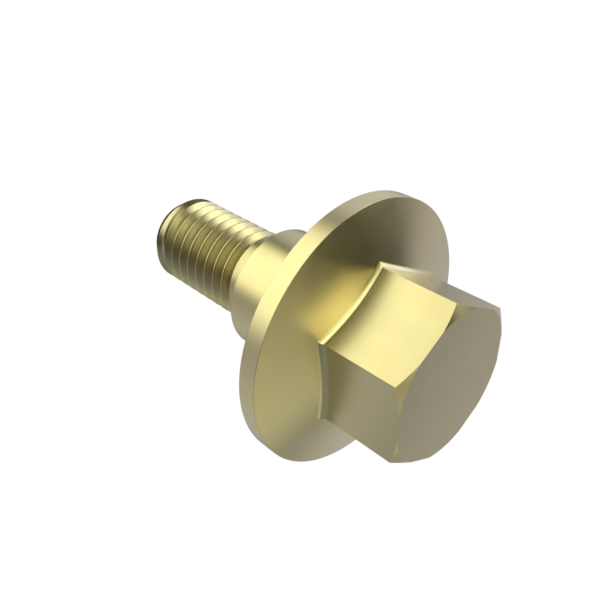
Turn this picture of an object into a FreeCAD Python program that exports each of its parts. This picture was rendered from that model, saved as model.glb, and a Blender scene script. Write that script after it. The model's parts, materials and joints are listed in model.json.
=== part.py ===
import FreeCAD, Part
import math
import os
import Sketcher

# Hex flange screw with a plain shoulder, cold headed from one piece of steel, its shank turned
# and its thread rolled. Millimetres, +Z up. It stands on the flat face of its hexagon head,
# with the origin at the middle of that face and the thread end pointing up.

doc = FreeCAD.newDocument("HexFlangeScrew")

# Driving sizes
sizes = doc.addObject("Spreadsheet::Sheet", "Sizes")
DRIVING_SIZES = [
    ("across_flats", 18.0, "width of the hexagon over two parallel flats"),
    ("corner_chamfer", 1.2, "how far the chamfer reaches in from each corner, on the head's face"),
    ("corner_angle", 30.0, "degrees between the corner chamfer and the head's face"),
    ("head_height", 14.9, "from the head's face to the seat under the flange"),
    ("flange_diameter", 33.6, "outside of the flange"),
    ("rim_thickness", 2.3, "height of the flange's round rim"),
    ("flange_slope", 19.0, "degrees between the flange's cone and its seat"),
    ("junction_radius", 0.9, "fillet where each flat runs into the cone"),
    ("rim_edge", 0.15, "edge break on both edges of the rim"),
    ("shoulder_diameter", 16.0, "plain ground shoulder under the seat"),
    ("shoulder_length", 12.0, "from the seat to the shoulder's end face"),
    ("shoulder_edge", 0.2, "edge break at the shoulder's end"),
    ("seat_radius", 0.4, "fillet in the corner of the seat and the shoulder"),
    ("thread_diameter", 12.0, "outside of the thread and of the short neck before it"),
    ("thread_length", 20.0, "from the shoulder's end face to the tip"),
    ("neck_radius", 0.4, "fillet in the corner of the shoulder's end face and the neck"),
    ("tip_chamfer", 1.0, "how far the tip's chamfer reaches in from the thread's outside"),
    ("tip_length", 1.6, "height of the tip's chamfer"),
]
for row, (alias, value, meaning) in enumerate(DRIVING_SIZES, start=1):
    sizes.set(f"A{row}", alias)
    sizes.set(f"B{row}", str(value))
    sizes.set(f"C{row}", meaning)
    sizes.setAlias(f"B{row}", alias)
doc.recompute()

# Sizes that follow from them, as formulas of the sheet
CORNER_RADIUS = "Sizes.across_flats / sqrt(3)"
RIM_RADIUS = "Sizes.flange_diameter / 2"
SHOULDER_RADIUS = "Sizes.shoulder_diameter / 2"
THREAD_RADIUS = "Sizes.thread_diameter / 2"
SEAT = "Sizes.head_height"
RIM_FRONT = f"{SEAT} - Sizes.rim_thickness"
CONE_APEX = f"{RIM_FRONT} - {RIM_RADIUS} * tan(Sizes.flange_slope * 1 deg)"
SHOULDER_END = f"{SEAT} + Sizes.shoulder_length"
TIP = f"{SHOULDER_END} + Sizes.thread_length"


def value_of(formula):
    """What a formula of the sheet comes to, in millimetres or degrees."""
    return float(sizes.evalExpression(formula))


def new_sketch(body, name, role, turn=0.0):
    """A sketch on the body's origin plane of that role, such as XZ_Plane, turned by some
    degrees about the plane's own upright axis."""
    sketch = body.newObject("Sketcher::SketchObject", name)
    plane = next(item for item in body.Origin.OriginFeatures if item.Role == role)
    sketch.AttachmentSupport = (plane, "")
    sketch.MapMode = "FlatFace"
    upright = FreeCAD.Rotation(FreeCAD.Vector(0, 1, 0), turn)
    sketch.AttachmentOffset = FreeCAD.Placement(FreeCAD.Vector(), upright)
    return sketch


# Numbers by which a sketch knows its own reference lines, and the points of a line or circle.
# Its origin is the start point of the horizontal axis.
REFERENCE = {"horizontal": -1, "vertical": -2}
POINT = {"start": 1, "end": 2, "centre": 3}


def draw_polygon(sketch, places):
    """Straight closed outline through the places, each line joined to the next."""
    count = len(places)
    for number in range(count):
        line = Part.LineSegment(places[number], places[(number + 1) % count])
        sketch.addGeometry(line, False)
    for number in range(count):
        following = (number + 1) % count
        sketch.addConstraint(Sketcher.Constraint(
            "Coincident", number, POINT["end"], following, POINT["start"]))


def bind_distance(sketch, kind, line, name, formula):
    """Ties the start of a line to the sheet, as its distance from the sketch's origin."""
    constraint = Sketcher.Constraint(
        kind, REFERENCE["horizontal"], POINT["start"], line, POINT["start"], value_of(formula))
    sketch.renameConstraint(sketch.addConstraint(constraint), name)
    sketch.setExpression(f"Constraints.{name}", formula)


def put_on_line(sketch, line, reference):
    """Keeps the start of a line on one of the sketch's reference lines, or on a circle."""
    sketch.addConstraint(Sketcher.Constraint("PointOnObject", line, POINT["start"], reference))


def draw_profile(sketch, corners):
    """Half section for a turned form, in the XZ plane. Each corner is its name, and its radius
    and height as formulas of the sheet; None puts it on the axis or on the head's face."""
    places = []
    for _, radius, height in corners:
        across = 0 if radius is None else value_of(radius)
        up = 0 if height is None else value_of(height)
        places.append(FreeCAD.Vector(across, up, 0))
    draw_polygon(sketch, places)
    for number, (name, radius, height) in enumerate(corners):
        if radius is None:
            put_on_line(sketch, number, REFERENCE["vertical"])
        else:
            bind_distance(sketch, "DistanceX", number, f"{name}_radius", radius)
        if height is None:
            put_on_line(sketch, number, REFERENCE["horizontal"])
        else:
            bind_distance(sketch, "DistanceY", number, f"{name}_height", height)


screw = doc.addObject("PartDesign::Body", "Screw")
screw.Label = "screw"

# Hexagon: a regular prism with one corner on +X, from the head's face up into the flange
hexagon = new_sketch(screw, "HexagonOutline", "XY_Plane")
SIDES = 6
corner_radius = value_of(CORNER_RADIUS)
corner_places = []
for side in range(SIDES):
    angle = math.radians(side * 360 / SIDES)
    place = FreeCAD.Vector(corner_radius * math.cos(angle), corner_radius * math.sin(angle), 0)
    corner_places.append(place)
draw_polygon(hexagon, corner_places)
corner_circle = Part.Circle(FreeCAD.Vector(), FreeCAD.Vector(0, 0, 1), corner_radius)
circle = hexagon.addGeometry(corner_circle, True)
hexagon.addConstraint(Sketcher.Constraint(
    "Coincident", circle, POINT["centre"], REFERENCE["horizontal"], POINT["start"]))
for side in range(SIDES):
    put_on_line(hexagon, side, circle)
for side in range(1, SIDES):
    hexagon.addConstraint(Sketcher.Constraint("Equal", 0, side))
put_on_line(hexagon, 0, REFERENCE["horizontal"])
circle_size = Sketcher.Constraint("Radius", circle, corner_radius)
hexagon.renameConstraint(hexagon.addConstraint(circle_size), "corner_radius")
hexagon.setExpression("Constraints.corner_radius", CORNER_RADIUS)

head = screw.newObject("PartDesign::Pad", "HexagonHead")
head.Profile = hexagon
head.setExpression("Length", RIM_FRONT)

# Turned form: the flange's cone, rim and seat, the shoulder, the neck and thread blank, and the
# tip. The cone runs on to the axis inside the hexagon, so that each flat meets it in a clean
# curve. Both turned outlines stand off +X, so that no seam of theirs runs along a corner of the
# hexagon or down the middle of a flat.
SEAM_TURN = 15.0
turned = new_sketch(screw, "TurnedOutline", "XZ_Plane", SEAM_TURN)
draw_profile(turned, [
    ("cone_apex", None, CONE_APEX),
    ("rim_front", RIM_RADIUS, RIM_FRONT),
    ("rim_back", RIM_RADIUS, SEAT),
    ("seat_inside", SHOULDER_RADIUS, SEAT),
    ("shoulder_end", SHOULDER_RADIUS, SHOULDER_END),
    ("neck_start", THREAD_RADIUS, SHOULDER_END),
    ("chamfer_start", THREAD_RADIUS, f"{TIP} - Sizes.tip_length"),
    ("tip_edge", f"{THREAD_RADIUS} - Sizes.tip_chamfer", TIP),
    ("tip_middle", None, TIP),
])
turned_form = screw.newObject("PartDesign::Revolution", "TurnedForm")
turned_form.Profile = turned
turned_form.ReferenceAxis = (turned, ["V_Axis"])
turned_form.Angle = 360
doc.recompute()

# Corner chamfer: the cone that cuts the six corners back at the head's face. Its outline
# reaches past the corners, to cut clear of them.
CUT_PAST_CORNER = 0.5
FACE_RADIUS = f"{CORNER_RADIUS} - Sizes.corner_chamfer"
CUT_RADIUS = f"{CORNER_RADIUS} + {CUT_PAST_CORNER}"
CUT_HEIGHT = f"(Sizes.corner_chamfer + {CUT_PAST_CORNER}) * tan(Sizes.corner_angle * 1 deg)"
corner_cut = new_sketch(screw, "CornerCutOutline", "XZ_Plane", SEAM_TURN)
draw_profile(corner_cut, [
    ("cut_start", FACE_RADIUS, None),
    ("cut_outside", CUT_RADIUS, None),
    ("cut_top", CUT_RADIUS, CUT_HEIGHT),
])
corner_chamfer = screw.newObject("PartDesign::Groove", "CornerChamfer")
corner_chamfer.Profile = corner_cut
corner_chamfer.ReferenceAxis = (corner_cut, ["V_Axis"])
corner_chamfer.Angle = 360
doc.recompute()

# Nearer than this, in millimetres, an edge lies on the surface that is looked for
TOUCHING = 0.001


def from_axis(point):
    return math.hypot(point.x, point.y)


def round_edge(radius, height):
    """Test for the round edge at a radius and a height, both formulas of the sheet."""
    def test(edge, middle):
        right_radius = abs(from_axis(middle) - value_of(radius)) < TOUCHING
        right_height = abs(middle.z - value_of(height)) < TOUCHING
        return right_radius and right_height
    return test


def junction_edge(edge, middle):
    """Test for the six curves where the flats run into the flange's cone."""
    cone_rise = from_axis(middle) * math.tan(math.radians(value_of("Sizes.flange_slope")))
    on_cone = abs(middle.z - value_of(CONE_APEX) - cone_rise) < TOUCHING
    inside_rim = from_axis(middle) < value_of(RIM_RADIUS) - TOUCHING
    return on_cone and inside_rim and not isinstance(edge.Curve, Part.Line)


def dress_edges(kind, name, base, tests, size_name, alias):
    """A fillet or chamfer of the sheet's size on the edges whose middle passes a test."""
    edges = []
    for number, edge in enumerate(base.Shape.Edges, start=1):
        first, last = edge.ParameterRange
        middle = edge.valueAt((first + last) / 2)
        if any(test(edge, middle) for test in tests):
            edges.append(f"Edge{number}")
    dressed = screw.newObject(kind, name)
    dressed.Base = (base, edges)
    dressed.setExpression(size_name, f"Sizes.{alias}")
    doc.recompute()
    return dressed


# Fillets where the flats run into the cone, and in the two inside corners of the shank
junction_fillet = dress_edges(
    "PartDesign::Fillet", "JunctionFillet", corner_chamfer,
    [junction_edge], "Radius", "junction_radius")
seat_fillet = dress_edges(
    "PartDesign::Fillet", "SeatFillet", junction_fillet,
    [round_edge(SHOULDER_RADIUS, SEAT)], "Radius", "seat_radius")
neck_fillet = dress_edges(
    "PartDesign::Fillet", "NeckFillet", seat_fillet,
    [round_edge(THREAD_RADIUS, SHOULDER_END)], "Radius", "neck_radius")

# Edge breaks on the rim and at the shoulder's end
rim_break = dress_edges(
    "PartDesign::Chamfer", "RimEdges", neck_fillet,
    [round_edge(RIM_RADIUS, RIM_FRONT), round_edge(RIM_RADIUS, SEAT)], "Size", "rim_edge")
shoulder_break = dress_edges(
    "PartDesign::Chamfer", "ShoulderEdge", rim_break,
    [round_edge(SHOULDER_RADIUS, SHOULDER_END)], "Size", "shoulder_edge")
screw.Tip = shoulder_break
doc.recompute()

# Every object has to be sound before the part is written
for item in doc.Objects:
    if "Invalid" in item.State or "Error" in item.State:
        raise SystemExit(f"{item.Name} failed: {item.State}")
if screw.Shape.isNull() or not screw.Shape.isValid() or len(screw.Shape.Solids) != 1:
    raise SystemExit("the screw is not one sound solid")

os.makedirs("parts", exist_ok=True)
screw.Shape.exportStep(f"parts/{screw.Label}.step")
box = screw.Shape.BoundBox
print(f"{screw.Label}: volume {screw.Shape.Volume:.1f} mm3, height {box.ZLength:.2f} mm")
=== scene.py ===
import bpy
import json
from math import atan2, cos, floor, pi, radians, sin, sqrt, tan
from mathutils import Matrix, Vector


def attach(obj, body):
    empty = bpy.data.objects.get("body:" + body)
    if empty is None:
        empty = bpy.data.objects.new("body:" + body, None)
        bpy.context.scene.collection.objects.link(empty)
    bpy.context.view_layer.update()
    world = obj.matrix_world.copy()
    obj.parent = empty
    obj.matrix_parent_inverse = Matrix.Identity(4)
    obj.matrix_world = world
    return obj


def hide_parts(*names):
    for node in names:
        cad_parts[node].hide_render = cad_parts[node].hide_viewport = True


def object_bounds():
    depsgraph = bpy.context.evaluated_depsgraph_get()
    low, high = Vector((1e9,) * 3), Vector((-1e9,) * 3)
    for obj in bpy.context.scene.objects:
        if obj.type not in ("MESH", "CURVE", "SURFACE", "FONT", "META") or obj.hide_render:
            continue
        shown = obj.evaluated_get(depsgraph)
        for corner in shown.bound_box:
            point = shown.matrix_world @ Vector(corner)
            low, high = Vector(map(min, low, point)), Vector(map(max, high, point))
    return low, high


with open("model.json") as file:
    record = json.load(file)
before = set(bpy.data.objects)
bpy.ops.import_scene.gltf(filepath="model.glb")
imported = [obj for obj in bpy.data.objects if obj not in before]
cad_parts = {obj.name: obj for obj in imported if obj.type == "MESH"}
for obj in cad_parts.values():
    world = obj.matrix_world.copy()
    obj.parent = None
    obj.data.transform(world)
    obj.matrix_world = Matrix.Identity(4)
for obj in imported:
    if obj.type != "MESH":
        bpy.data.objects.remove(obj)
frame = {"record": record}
cad_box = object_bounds()
bpy.ops.object.select_all(action="DESELECT")

# The head. A hexagon for an 18 mm spanner, cold headed on the end of the steel blank. Its six
# corners are cut back by a shallow cone, so that a socket slides on.
MM = 0.001
mounts = {mount["name"]: mount for mount in frame["record"]["mounts"]}
SEAT_HEIGHT = mounts["seat"]["pos_m"][2]
FLANGE_RADIUS = (cad_box[1].x - cad_box[0].x) / 2
ACROSS_FLATS = 18 * MM
HEX_TURN = radians(30)
CORNER_RADIUS = ACROSS_FLATS / sqrt(3)
CORNER_CHAMFER = 1.2 * MM
CORNER_ANGLE = radians(30)
RIM_THICKNESS = 2.3 * MM
RIM_FRONT = SEAT_HEIGHT - RIM_THICKNESS
ROUND_STEPS = 360
CLEAR = 2 * MM
TOUCHING = 0.003 * MM
FINEST = 0.0001 * MM


def begin_edit(piece, kind):
    """Gives one piece the select mode for vertices, edges or faces, with nothing selected."""
    bpy.context.view_layer.objects.active = piece
    bpy.ops.object.mode_set(mode="EDIT")
    bpy.ops.mesh.select_mode(type=kind)
    bpy.ops.mesh.select_all(action="DESELECT")
    bpy.ops.object.mode_set(mode="OBJECT")


def pick(piece, kind, wanted):
    """Selects the edges or faces of a piece that pass the test, and stays in edit mode."""
    begin_edit(piece, kind)
    mesh = piece.data
    if kind == "EDGE":
        for edge in mesh.edges:
            first, last = (mesh.vertices[number].co for number in edge.vertices)
            edge.select = wanted(first, last)
    else:
        for face in mesh.polygons:
            face.select = wanted(face.center, face.normal)
    bpy.ops.object.mode_set(mode="EDIT")


def end_edit():
    bpy.ops.object.mode_set(mode="OBJECT")
    bpy.ops.object.select_all(action="DESELECT")


def turned(name, rings):
    """A round solid, pulled up ring by ring from a disc, as on a lathe. A ring is a radius and a
    height, and the last one closes it with a flat face."""
    radius, height = rings[0]
    bpy.ops.mesh.primitive_circle_add(vertices=ROUND_STEPS, radius=radius, fill_type="NGON")
    piece = bpy.context.active_object
    piece.name = name
    bpy.ops.object.mode_set(mode="EDIT")
    bpy.ops.transform.translate(value=(0, 0, height))
    for next_radius, next_height in rings[1:]:
        bpy.ops.mesh.extrude_region_move(
            TRANSFORM_OT_translate={"value": (0, 0, next_height - height)})
        share = next_radius / radius
        bpy.ops.transform.resize(value=(share, share, 1), center_override=(0, 0, 0))
        radius, height = next_radius, next_height
    bpy.ops.mesh.select_all(action="SELECT")
    bpy.ops.mesh.normals_make_consistent(inside=False)
    end_edit()
    return piece


def combine(piece, tool, operation):
    """Joins a second solid to a piece, or keeps what both have, as one closed skin with no doubled
    points."""
    step = piece.modifiers.new("Combine", "BOOLEAN")
    step.operation = operation
    step.solver = "EXACT"
    step.object = tool
    bpy.context.view_layer.objects.active = piece
    bpy.ops.object.modifier_apply(modifier=step.name)
    bpy.data.objects.remove(tool)
    bpy.ops.object.mode_set(mode="EDIT")
    bpy.ops.mesh.select_all(action="SELECT")
    bpy.ops.mesh.remove_doubles(threshold=TOUCHING)
    end_edit()


bpy.ops.mesh.primitive_cylinder_add(vertices=6, radius=CORNER_RADIUS, depth=RIM_FRONT,
                                    location=(0, 0, RIM_FRONT / 2), rotation=(0, 0, HEX_TURN))
screw = bpy.context.active_object
screw.name = "flange_screw"
bpy.ops.object.transform_apply(location=True, rotation=True, scale=True)
face_radius = CORNER_RADIUS - CORNER_CHAMFER
outside = CORNER_RADIUS + CLEAR
face_cone = turned("face_cone", [
    (face_radius, 0),
    (outside, (outside - face_radius) * tan(CORNER_ANGLE)),
    (outside, RIM_FRONT + CLEAR),
])
combine(screw, face_cone, "INTERSECT")

# The flange and the shoulder. One upset disc with a conical front, a round rim and a flat seat,
# and behind it a ground cylinder and a short neck. The rim and the corners are broken a little.
FLANGE_SLOPE = radians(19)
RIM_EDGE = 0.05 * MM
SEAT_FILLET = 0.4 * MM
SHOULDER_RADIUS = mounts["shoulder"]["dims"]["r_mm"] * MM
SHOULDER_LENGTH = 12 * MM
SHOULDER_END = SEAT_HEIGHT + SHOULDER_LENGTH
SHOULDER_EDGE = 0.05 * MM
THREAD_RADIUS = mounts["thread"]["dims"]["r_mm"] * MM
NECK_END = 28.2 * MM
NECK_FILLET = 0.4 * MM
ARC_STEPS = 5


def cone_height(radius):
    """Height of the flange's cone at that radius."""
    return RIM_FRONT - (FLANGE_RADIUS - radius) * tan(FLANGE_SLOPE)


def rounded(corners):
    """Rings for a half section whose corners are rounded. A corner is a radius, a height and the
    radius of its rounding, or 0 for a sharp one."""
    rings = []
    for number, (radius, height, rounding) in enumerate(corners):
        corner = Vector((radius, height))
        if not rounding:
            rings.append(tuple(corner))
            continue
        back = (Vector(corners[number - 1][:2]) - corner).normalized()
        ahead = (Vector(corners[number + 1][:2]) - corner).normalized()
        half = back.angle(ahead) / 2
        middle = corner + (back + ahead).normalized() * (rounding / sin(half))
        first = corner + back * (rounding / tan(half)) - middle
        last = corner + ahead * (rounding / tan(half)) - middle
        sweep = first.angle_signed(last)
        for step in range(ARC_STEPS + 1):
            spoke = first.copy()
            spoke.rotate(Matrix.Rotation(-sweep * step / ARC_STEPS, 2))
            rings.append(tuple(middle + spoke))
    return rings


inside_radius = ACROSS_FLATS / 4
flange = turned("flange", rounded([
    (inside_radius, cone_height(inside_radius), 0),
    (FLANGE_RADIUS, RIM_FRONT, RIM_EDGE),
    (FLANGE_RADIUS, SEAT_HEIGHT, RIM_EDGE),
    (SHOULDER_RADIUS, SEAT_HEIGHT, SEAT_FILLET),
    (SHOULDER_RADIUS, SHOULDER_END, SHOULDER_EDGE),
    (THREAD_RADIUS, SHOULDER_END, NECK_FILLET),
    (THREAD_RADIUS, NECK_END, 0),
]))
combine(screw, flange, "UNION")

# The fillet round the hexagon. Where the six flats run into the cone, the header's die leaves it in
# the steel, mitred at the corners.
JUNCTION_RADIUS = 0.9 * MM
JUNCTION_STEPS = 6
junction_reach = JUNCTION_RADIUS * tan((pi / 2 - FLANGE_SLOPE) / 2)


def on_junction(place):
    """True on the curves that the hexagon's flats and the flange's cone share."""
    from_axis = Vector((place.x, place.y)).length
    on_cone = abs(place.z - cone_height(from_axis)) < TOUCHING
    flats = [place.x * cos(turn) + place.y * sin(turn) for turn in flat_turns]
    return on_cone and abs(max(flats) - ACROSS_FLATS / 2) < TOUCHING


flat_turns = [HEX_TURN + radians(60 * side) for side in range(6)]
pick(screw, "EDGE", lambda first, last: on_junction(first) and on_junction(last))
bpy.ops.mesh.bevel(offset=junction_reach, offset_type="OFFSET", segments=JUNCTION_STEPS,
                   profile=0.5, affect="EDGES", clamp_overlap=False)
end_edit()

# The thread and the tip. Rolled to M12 x 1.75, right-handed, with narrow crests and a small root
# radius. Its groove runs in beside the neck and fades out in a short plain collar, before the
# chamfer that is turned on the blank's end.
PITCH = 1.75 * MM
CREST_WIDTH = 0.12 * MM
FLANK_ANGLE = radians(30)
ROOT_DEPTH = 1.2 * MM
ROOT_ROUNDING = 0.12 * MM
CREST_PLACE = 31.42 * MM
TURNS_BEFORE, TURNS_AFTER = 3, 9
THREAD_STEPS = 180
RUN_IN = (-1.75, -1.2)
RUN_OUT = (6.55, 7.18)
TIP = cad_box[1].z
TIP_LENGTH = 1.6 * MM
TIP_CHAMFER = 1.0 * MM
TIP_EDGE = 0.03 * MM
JOIN_GAP = 0.05 * MM
OVER = 0.02 * MM


def draw_path(name, places):
    """An open outline, drawn point by point from the first place."""
    bpy.ops.mesh.primitive_plane_add(size=MM)
    path = bpy.context.active_object
    path.name = name
    bpy.ops.object.mode_set(mode="EDIT")
    bpy.ops.mesh.select_mode(type="VERT")
    bpy.ops.mesh.merge(type="CENTER")
    bpy.ops.transform.translate(value=places[0])
    for before, after in zip(places, places[1:]):
        bpy.ops.mesh.extrude_region_move(TRANSFORM_OT_translate={"value": after - before})
    end_edit()
    return path


def groove_outline():
    """One groove from the middle of a crest to the middle of the next, along the axis."""
    half_crest = CREST_WIDTH / 2
    root_radius = THREAD_RADIUS - ROOT_DEPTH
    flank_run = ROOT_DEPTH * tan(FLANK_ANGLE)
    flat = PITCH / 2 - half_crest - flank_run
    corners = [
        (THREAD_RADIUS, -half_crest, 0),
        (THREAD_RADIUS, half_crest, 0),
        (root_radius, half_crest + flank_run, ROOT_ROUNDING),
        (root_radius, half_crest + flank_run + 2 * flat, ROOT_ROUNDING),
        (THREAD_RADIUS, PITCH - half_crest, 0),
    ]
    return [Vector((radius, 0, height)) for radius, height in rounded(corners)]


def smooth_step(low, high, value):
    share = min(max((value - low) / (high - low), 0), 1)
    return share * share * (3 - 2 * share)


def filled_in(place):
    """How far the groove is filled at a place, from 0, full depth, to 1, no groove."""
    turn = (atan2(place.y, place.x) / (2 * pi)) % 1
    crest = (place.z - CREST_PLACE) / PITCH - turn
    groove = floor(crest) + turn
    return 1 - smooth_step(*RUN_IN, groove) * (1 - smooth_step(*RUN_OUT, groove))


first_crest = Vector((0, 0, CREST_PLACE - TURNS_BEFORE * PITCH))
thread = draw_path("thread", [first_crest + place for place in groove_outline()])
winding = thread.modifiers.new("Winding", "SCREW")
winding.axis = "Z"
winding.screw_offset = PITCH
winding.iterations = TURNS_BEFORE + TURNS_AFTER
winding.steps = winding.render_steps = THREAD_STEPS
winding.use_merge_vertices = True
winding.merge_threshold = TOUCHING
bpy.ops.object.modifier_apply(modifier=winding.name)
plain = thread.vertex_groups.new(name="plain")
for vertex in thread.data.vertices:
    plain.add([vertex.index], filled_in(vertex.co), "REPLACE")
run_out = thread.modifiers.new("RunOut", "CAST")
run_out.cast_type = "CYLINDER"
run_out.use_z = False
run_out.factor = 1
run_out.use_radius_as_size = False
run_out.size = THREAD_RADIUS
run_out.vertex_group = plain.name
bpy.ops.object.modifier_apply(modifier=run_out.name)
thread.vertex_groups.clear()
begin_edit(thread, "VERT")
bpy.ops.object.mode_set(mode="EDIT")
bpy.ops.mesh.select_all(action="SELECT")
bpy.ops.mesh.remove_doubles(threshold=TOUCHING)
for height, above in ((NECK_END + JOIN_GAP, False), (TIP + JOIN_GAP, True)):
    bpy.ops.mesh.select_all(action="SELECT")
    bpy.ops.mesh.bisect(plane_co=(0, 0, height), plane_no=(0, 0, 1), threshold=FINEST,
                        use_fill=True, clear_inner=not above, clear_outer=above)
bpy.ops.mesh.select_all(action="SELECT")
bpy.ops.mesh.normals_make_consistent(inside=False)
end_edit()
blank_radius = THREAD_RADIUS + OVER
chamfer_slope = TIP_CHAMFER / TIP_LENGTH
blank = turned("blank", rounded([
    (blank_radius, NECK_END - CLEAR, 0),
    (blank_radius, TIP - TIP_LENGTH - OVER / chamfer_slope, 0),
    (THREAD_RADIUS - TIP_CHAMFER, TIP, TIP_EDGE),
    (inside_radius / 2, TIP, 0),
]))
combine(thread, blank, "INTERSECT")


def open_end(piece, height, facing):
    """Takes away the flat face that closes a piece at that height."""
    pick(piece, "FACE", lambda middle, normal: abs(middle.z - height) < TOUCHING
         and normal.z * facing > 0.5)
    bpy.ops.mesh.delete(type="FACE")
    end_edit()


open_end(screw, NECK_END, 1)
open_end(thread, NECK_END + JOIN_GAP, -1)

# One piece again: the neck and the thread are joined edge to edge into the closed skin of the whole
# screw, smooth on its round faces and crisp at its edges.
SMOOTH_UP_TO = radians(24)
for part in (thread, screw):
    part.select_set(True)
bpy.context.view_layer.objects.active = screw
bpy.ops.object.join()


def close_gap(low, high):
    """Bridges the two open rings of the skin between those heights."""
    pick(screw, "EDGE", lambda first, last: open_edges[frozenset((tuple(first), tuple(last)))] == 1
         and low < first.z < high and low < last.z < high)
    bpy.ops.mesh.bridge_edge_loops()
    end_edit()


def faces_at_edges(mesh):
    """How many faces meet at each edge, by the places of the edge's two ends."""
    counts = {}
    for face in mesh.polygons:
        for pair in face.edge_keys:
            ends = frozenset(tuple(mesh.vertices[number].co) for number in pair)
            counts[ends] = counts.get(ends, 0) + 1
    return counts


open_edges = faces_at_edges(screw.data)
close_gap(NECK_END - JOIN_GAP, NECK_END + 2 * JOIN_GAP)
pick(screw, "FACE", lambda middle, normal: True)
bpy.ops.mesh.normals_make_consistent(inside=False)
end_edit()
screw.select_set(True)
bpy.ops.object.shade_smooth_by_angle(angle=SMOOTH_UP_TO)
crisp = screw.modifiers.new("Crisp", "WEIGHTED_NORMAL")
crisp.keep_sharp = True
bpy.ops.object.modifier_apply(modifier=crisp.name)
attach(screw, "root")
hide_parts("screw")

# The finish. Zinc plate under a yellow passivation, satin all over. Its colour drifts a little from
# straw to gold, and on the thread it is darkened as painted shade for the grooves. Under a lens
# there is the plate's fine grain, with faint turning lines round the flange and the shoulder.
STRAW = (0.85, 0.765, 0.46, 1)
GOLD = (0.845, 0.75, 0.43, 1)
COLOUR_PATCHES = 110
COLOUR_RANGE = (0.35, 0.65)
# Painted shade: the thread's colour is multiplied by this, darker, standing in for the shade in its
# grooves.
THREAD_PAINTED_SHADE = (0.86, 0.86, 0.88, 1)
ROUGHNESS = 0.285
ROUGHNESS_PATCHES = 420
ROUGHNESS_RANGE = (0.3, 0.7)
ROUGHNESS_SPREAD = 0.01
GRAIN_SCALE = 7000
LINE_SCALE = 5200
LINE_SHARE = 0.5
LINE_FADE = 0.3 * MM
GRAIN_HEIGHT = 0.0004 * MM
THREAD_GRAIN = 0.15
plating = bpy.data.materials.new("yellow_zinc_plating")
plating.use_nodes = True
surface = plating.node_tree.nodes["Principled BSDF"]
surface.inputs["Metallic"].default_value = 1


def add_node(kind, **settings):
    """A shader node in the plating, with its settings and its plain input values."""
    node = plating.node_tree.nodes.new("ShaderNode" + kind)
    for name, value in settings.items():
        if hasattr(node, name):
            setattr(node, name, value)
        else:
            node.inputs[name.replace("_", " ")].default_value = value
    return node


def wire(source, output, target, socket):
    plating.node_tree.links.new(source.outputs[output], target.inputs[socket])


def noise(scale, detail, source, output):
    """A noise pattern that follows the given vector."""
    pattern = add_node("TexNoise", Scale=scale, Detail=detail)
    wire(source, output, pattern, "Vector")
    return pattern


def spread(source, output, low, high, to_low, to_high):
    """Maps a value from one range to another, with soft ends."""
    mapped = add_node("MapRange", interpolation_type="SMOOTHSTEP")
    mapped.inputs["From Min"].default_value = low
    mapped.inputs["From Max"].default_value = high
    mapped.inputs["To Min"].default_value = to_low
    mapped.inputs["To Max"].default_value = to_high
    wire(source, output, mapped, "Value")
    return mapped


place = add_node("TexCoord")
parts = add_node("SeparateXYZ")
wire(place, "Object", parts, "Vector")
across = add_node("CombineXYZ")
wire(parts, "X", across, "X")
wire(parts, "Y", across, "Y")
radius = add_node("VectorMath", operation="LENGTH")
wire(across, "Vector", radius, "Vector")
section = add_node("CombineXYZ")
wire(radius, "Value", section, "X")
wire(parts, "Z", section, "Y")

patches = spread(noise(COLOUR_PATCHES, 3, place, "Object"), "Fac", *COLOUR_RANGE, 0, 1)
colour = add_node("Mix", data_type="RGBA")
colour.inputs["A"].default_value = STRAW
colour.inputs["B"].default_value = GOLD
wire(patches, "Result", colour, "Factor")
# Painted shade on the thread: its colour is darkened from the shoulder's end to the neck's end and
# beyond.
painted_thread_shade = add_node("Mix", data_type="RGBA", blend_type="MULTIPLY")
painted_thread_shade.inputs["B"].default_value = THREAD_PAINTED_SHADE
wire(spread(parts, "Z", SHOULDER_END, NECK_END, 0, 1), "Result", painted_thread_shade, "Factor")
wire(colour, "Result", painted_thread_shade, "A")
wire(painted_thread_shade, "Result", surface, "Base Color")

cloud = spread(noise(ROUGHNESS_PATCHES, 2, place, "Object"), "Fac", *ROUGHNESS_RANGE,
               ROUGHNESS - ROUGHNESS_SPREAD, ROUGHNESS + ROUGHNESS_SPREAD)
wire(cloud, "Result", surface, "Roughness")

grain = noise(GRAIN_SCALE, 2, place, "Object")
lines = noise(LINE_SCALE, 3, section, "Vector")
off_the_flats = spread(radius, "Value", CORNER_RADIUS - FINEST, CORNER_RADIUS + LINE_FADE,
                       0, LINE_SHARE)
behind_the_head = spread(parts, "Z", RIM_FRONT, SEAT_HEIGHT, 0, LINE_SHARE)
is_turned = add_node("Math", operation="MAXIMUM")
wire(off_the_flats, "Result", is_turned, 0)
wire(behind_the_head, "Result", is_turned, 1)
heights = add_node("Mix", data_type="FLOAT")
wire(is_turned, "Value", heights, "Factor")
wire(grain, "Fac", heights, "A")
wire(lines, "Fac", heights, "B")
bump = add_node("Bump", Distance=GRAIN_HEIGHT)
wire(spread(parts, "Z", SHOULDER_END, NECK_END, 1, THREAD_GRAIN), "Result", bump, "Strength")
wire(heights, "Result", bump, "Height")
wire(bump, "Normal", surface, "Normal")
screw.data.materials.clear()
screw.data.materials.append(plating)

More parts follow.
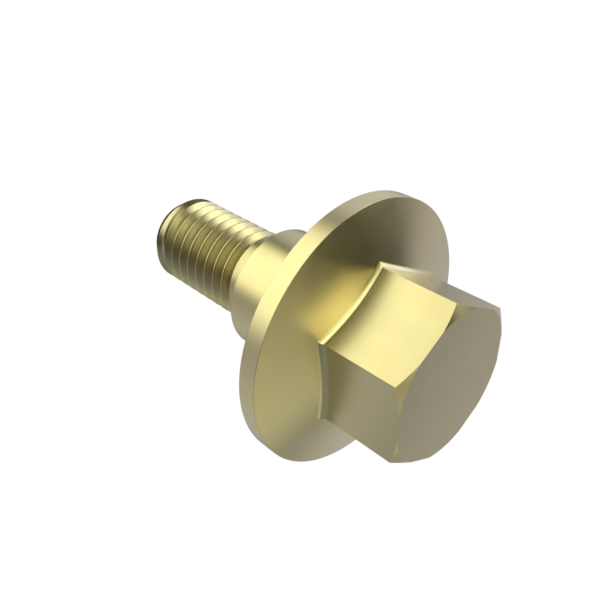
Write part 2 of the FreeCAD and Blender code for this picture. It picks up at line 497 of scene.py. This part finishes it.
# The floor. A plain pale table top that shows the screw's shadow from above. It is only there for
# a camera above it, so the light and the mirror images from below pass, and so does the photo's
# camera, which looks up at the head.
FLOOR_SIZE = 2.4
FLOOR_DROP = 0.02 * MM
FLOOR_COLOUR = (0.82, 0.82, 0.82, 1)
bpy.ops.mesh.primitive_plane_add(size=FLOOR_SIZE, location=(0, 0, -FLOOR_DROP))
table = bpy.context.active_object
table.name = "table"
table_top = bpy.data.materials.new("pale_table_top")
table_top.use_nodes = True
nodes, links = table_top.node_tree.nodes, table_top.node_tree.links
board = nodes["Principled BSDF"]
board.inputs["Base Color"].default_value = FLOOR_COLOUR
board.inputs["Roughness"].default_value = 1
board.inputs["Specular IOR Level"].default_value = 0
clear = nodes.new("ShaderNodeBsdfTransparent")
ray = nodes.new("ShaderNodeLightPath")
side = nodes.new("ShaderNodeNewGeometry")
from_above = nodes.new("ShaderNodeMath")
from_above.operation = "SUBTRACT"
from_above.use_clamp = True
links.new(ray.outputs["Is Camera Ray"], from_above.inputs[0])
links.new(side.outputs["Backfacing"], from_above.inputs[1])
top = nodes.new("ShaderNodeMixShader")
links.new(from_above.outputs["Value"], top.inputs["Fac"])
links.new(clear.outputs["BSDF"], top.inputs[1])
links.new(board.outputs["BSDF"], top.inputs[2])
links.new(top.outputs["Shader"], nodes["Material Output"].inputs["Surface"])
table.data.materials.append(table_top)

# The soft boxes. They fade towards their edges, and only the metal mirrors them. Each row has a
# box's azimuth and elevation from the screw, its half width and half height, all in degrees, and
# its red, green and blue, where 1 is white.
CENTRE = Vector((0, 0, cad_box[1].z / 2))
BOX_DISTANCE = 0.8
BOX_FULL_SHARE = 0.4
SOFT_BOXES = {
    "key": (28, 37, 47, 25, (1.5, 1.49, 1.12)),
    "low_key": (33, -37, 33, 28, (1.86, 1.85, 1.14)),
    "from_below": (58, -75, 16, 20, (1.5, 1.4, 0.92)),
    "side": (116, -37, 24, 16, (2.2, 2.27, 1.82)),
    "side_edge": (140, -10, 16, 26, (1.15, 1.2, 1.36)),
    "side_bar": (96, -2, 18, 17, (1.35, 1.43, 1.91)),
    "high_fill": (125, 30, 42, 20, (0.6, 0.61, 0.66)),
    "back_fill": (-173, -4, 46, 37, (0.46, 0.46, 0.52)),
    "left_fill": (-80, 42, 62, 24, (0.34, 0.33, 0.35)),
    "low_fill": (-115, -55, 18, 41, (0.42, 0.4, 0.28)),
    "overhead": (0, 90, 13, 13, (0.7, 0.69, 0.67)),
}
glow = bpy.data.materials.new("soft_box_cloth")
glow.use_nodes = True
nodes, links = glow.node_tree.nodes, glow.node_tree.links
nodes.remove(nodes["Principled BSDF"])
where = nodes.new("ShaderNodeTexCoord")
split = nodes.new("ShaderNodeSeparateXYZ")
links.new(where.outputs["Object"], split.inputs["Vector"])
fade = nodes.new("ShaderNodeMath")
fade.operation = "MULTIPLY"
for number, axis in enumerate("XY"):
    off_middle = nodes.new("ShaderNodeMath")
    off_middle.operation = "ABSOLUTE"
    bright = nodes.new("ShaderNodeMapRange")
    bright.interpolation_type = "SMOOTHSTEP"
    bright.inputs["From Min"].default_value = 1
    bright.inputs["From Max"].default_value = BOX_FULL_SHARE
    links.new(split.outputs[axis], off_middle.inputs[0])
    links.new(off_middle.outputs["Value"], bright.inputs["Value"])
    links.new(bright.outputs["Result"], fade.inputs[number])
tint = nodes.new("ShaderNodeObjectInfo")
light = nodes.new("ShaderNodeEmission")
clear = nodes.new("ShaderNodeBsdfTransparent")
both = nodes.new("ShaderNodeAddShader")
links.new(tint.outputs["Color"], light.inputs["Color"])
links.new(fade.outputs["Value"], light.inputs["Strength"])
links.new(light.outputs["Emission"], both.inputs[0])
links.new(clear.outputs["BSDF"], both.inputs[1])
links.new(both.outputs["Shader"], nodes["Material Output"].inputs["Surface"])


def aim_at_screw(item, azimuth, elevation, distance):
    """Puts something in that direction from the screw, upright, with its back turned to it."""
    outward = Vector((cos(azimuth) * cos(elevation), sin(azimuth) * cos(elevation), sin(elevation)))
    item.location = CENTRE + outward * distance
    item.rotation_euler = outward.to_track_quat("Z", "Y").to_euler()


def only_mirrored(item):
    """Leaves something to be seen in the metal only, not by the camera or as light on the table."""
    item.visible_camera = False
    item.visible_diffuse = False
    item.visible_shadow = False


for name, (azimuth, elevation, half_width, half_height, brightness) in SOFT_BOXES.items():
    bpy.ops.mesh.primitive_plane_add(size=2)
    box = bpy.context.active_object
    box.name = name
    width, height = (BOX_DISTANCE * tan(radians(half)) for half in (half_width, half_height))
    box.scale = (width, height, 1)
    aim_at_screw(box, radians(azimuth), radians(elevation), BOX_DISTANCE)
    box.color = (*brightness, 1)
    box.data.materials.append(glow)
    only_mirrored(box)

# The tent. Dark cloth all round the screw, behind the soft boxes, with a grey curtain on its left
# that fades out between two angles from the curtain's middle.
TENT_RADIUS = 1.6
TENT_STEPS = 64
CURTAIN_AZIMUTH = radians(-90)
CURTAIN_ELEVATION = radians(-9)
CURTAIN_END = radians(69)
CURTAIN_FULL = radians(21)
CURTAIN_GREY = (0.22, 0.235, 0.24, 1)
bpy.ops.mesh.primitive_uv_sphere_add(segments=TENT_STEPS, ring_count=TENT_STEPS // 2,
                                     radius=TENT_RADIUS)
tent = bpy.context.active_object
tent.name = "tent"
aim_at_screw(tent, CURTAIN_AZIMUTH, CURTAIN_ELEVATION, 0)
cloth = bpy.data.materials.new("tent_cloth")
cloth.use_nodes = True
nodes, links = cloth.node_tree.nodes, cloth.node_tree.links
nodes.remove(nodes["Principled BSDF"])
where = nodes.new("ShaderNodeTexCoord")
split = nodes.new("ShaderNodeSeparateXYZ")
curtain = nodes.new("ShaderNodeMapRange")
curtain.interpolation_type = "SMOOTHSTEP"
curtain.inputs["From Min"].default_value = TENT_RADIUS * cos(CURTAIN_END)
curtain.inputs["From Max"].default_value = TENT_RADIUS * cos(CURTAIN_FULL)
light = nodes.new("ShaderNodeEmission")
light.inputs["Color"].default_value = CURTAIN_GREY
links.new(where.outputs["Object"], split.inputs["Vector"])
links.new(split.outputs["Z"], curtain.inputs["Value"])
links.new(curtain.outputs["Result"], light.inputs["Strength"])
links.new(light.outputs["Emission"], nodes["Material Output"].inputs["Surface"])
tent.data.materials.append(cloth)
only_mirrored(tent)

# The lamp over the table. A soft lamp that lights the table top and gives the screw its shadow
# there. The metal doesn't mirror it.
LAMP_PLACE = Vector((0.3, 0.2, 1.0))
LAMP_SIZE = 0.6
LAMP_POWER = 3.3
lamp_data = bpy.data.lights.new("table_lamp", "AREA")
lamp = bpy.data.objects.new("table_lamp", lamp_data)
bpy.context.scene.collection.objects.link(lamp)
lamp_data.size = LAMP_SIZE
lamp_data.energy = LAMP_POWER
lamp.location = LAMP_PLACE
lamp.rotation_euler = LAMP_PLACE.to_track_quat("Z", "Y").to_euler()
lamp.visible_glossy = False
lamp.visible_camera = False

# The background. White for the camera, for mirrored rays and for rays through glass, and a plainer
# level for the light that falls on the table.
AROUND = 0.85
world = bpy.data.worlds.new("studio")
world.use_nodes = True
nodes, links = world.node_tree.nodes, world.node_tree.links
back = nodes["Background"]
back.inputs["Color"].default_value = (1, 1, 1, 1)
ray = nodes.new("ShaderNodeLightPath")
mirrored = nodes.new("ShaderNodeMath")
mirrored.operation = "MAXIMUM"
through = nodes.new("ShaderNodeMath")
through.operation = "MAXIMUM"
links.new(ray.outputs["Is Camera Ray"], mirrored.inputs[0])
links.new(ray.outputs["Is Glossy Ray"], mirrored.inputs[1])
links.new(mirrored.outputs["Value"], through.inputs[0])
links.new(ray.outputs["Is Transmission Ray"], through.inputs[1])
strength = nodes.new("ShaderNodeMapRange")
strength.inputs["To Min"].default_value = AROUND
strength.inputs["To Max"].default_value = 1
links.new(through.outputs["Value"], strength.inputs["Value"])
links.new(strength.outputs["Result"], back.inputs["Strength"])
bpy.context.scene.world = world

# The camera. Below the floor's level and looking up at the head, as the photograph shows it, with
# the shank away to the upper left.
CAMERA_AIM = Vector((0, 0, 23.0 * MM))
CAMERA_PLACE = Vector((67.76, 18.788, -29.164)) * MM
CAMERA_ROLL = radians(60.418)
SENSOR_WIDTH = 36
LENS_LENGTH = 41.898
NEAREST = 1 * MM
camera_data = bpy.data.cameras.new("camera")
camera = bpy.data.objects.new("camera", camera_data)
bpy.context.scene.collection.objects.link(camera)
camera_data.sensor_width = SENSOR_WIDTH
camera_data.lens = LENS_LENGTH
camera_data.clip_start = NEAREST
look = (CAMERA_AIM - CAMERA_PLACE).to_track_quat("-Z", "Y")
roll = Matrix.Rotation(-CAMERA_ROLL, 4, "Z")
camera.matrix_world = Matrix.Translation(CAMERA_PLACE) @ look.to_matrix().to_4x4() @ roll
bpy.context.scene.camera = camera
bpy.context.scene.view_settings.view_transform = "Standard"
